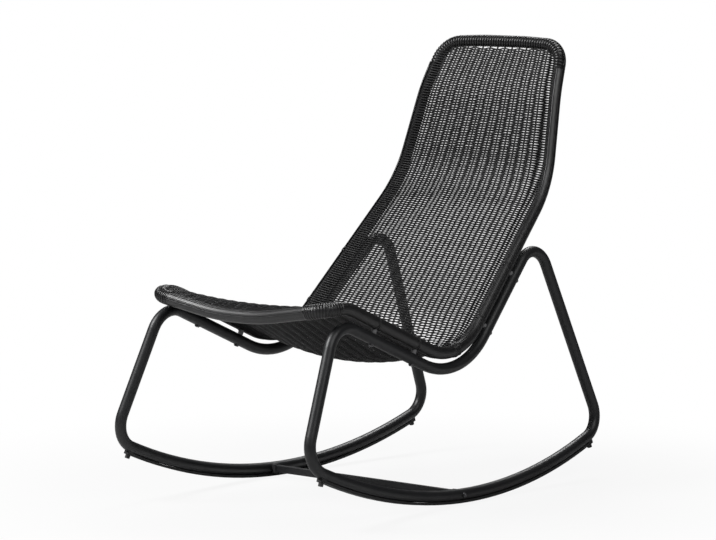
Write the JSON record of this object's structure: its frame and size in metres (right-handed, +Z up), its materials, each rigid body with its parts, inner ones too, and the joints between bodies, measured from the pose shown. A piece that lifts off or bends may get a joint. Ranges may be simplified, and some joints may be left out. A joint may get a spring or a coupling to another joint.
{
  "type": "sling rocking chair",
  "caption": "Armless rocking chair with a woven resin sling hung in a bent tube frame, bolted to closed loops of steel tube that are both legs and rockers.",
  "frame": {"origin": "on the floor, at the middle of the chair's footprint box", "axes": "+X towards the sitter's left, +Y towards the back of the chair, +Z up; the chair faces -Y"},
  "size_m": [0.587, 1.0129, 0.9894],
  "materials": {
    "frame_tube": "satin powder coat",
    "resin_wicker": "matte, fine ribbed strand",
    "moulded_trim": "matte",
    "fastener": "black oxide, satin",
    "insert": "plain"
  },
  "bodies": {
    "root": {"rocker_frame_left": "frame_tube", "rocker_frame_right": "frame_tube", "seat_frame_tube": "frame_tube", "rail_wrap_left": "resin_wicker", "rail_wrap_right": "resin_wicker", "rail_wrap_top": "resin_wicker", "rail_wrap_front": "resin_wicker", "corner_binding_left": "resin_wicker", "corner_binding_right": "resin_wicker", "bend_binding_left": "resin_wicker", "bend_binding_right": "resin_wicker", "woven_seat": "resin_wicker", "woven_back": "resin_wicker", "front_seat_spacer_left": "moulded_trim", "front_seat_spacer_right": "moulded_trim", "rear_seat_spacer_left": "moulded_trim", "rear_seat_spacer_right": "moulded_trim", "lower_back_spacer_left": "moulded_trim", "lower_back_spacer_right": "moulded_trim", "upper_back_spacer_left": "moulded_trim", "upper_back_spacer_right": "moulded_trim", "frame_bolts_left": "fastener", "frame_bolts_right": "fastener", "saddle_washers_left": "fastener", "saddle_washers_right": "fastener", "threaded_inserts_left": "insert", "threaded_inserts_right": "insert", "crossbar": "frame_tube", "crossbar_saddle_left": "moulded_trim", "crossbar_saddle_right": "moulded_trim", "crossbar_plug_left": "insert", "crossbar_plug_right": "insert", "crossbar_bolt_left": "fastener", "crossbar_bolt_right": "fastener", "glide_strip_left": "moulded_trim", "glide_strip_right": "moulded_trim", "front_end_stop_left": "moulded_trim", "front_end_stop_right": "moulded_trim", "rear_end_stop_left": "moulded_trim", "rear_end_stop_right": "moulded_trim", "end_stop_screws_left": "fastener", "end_stop_screws_right": "fastener"}
  },
  "joints": []
}
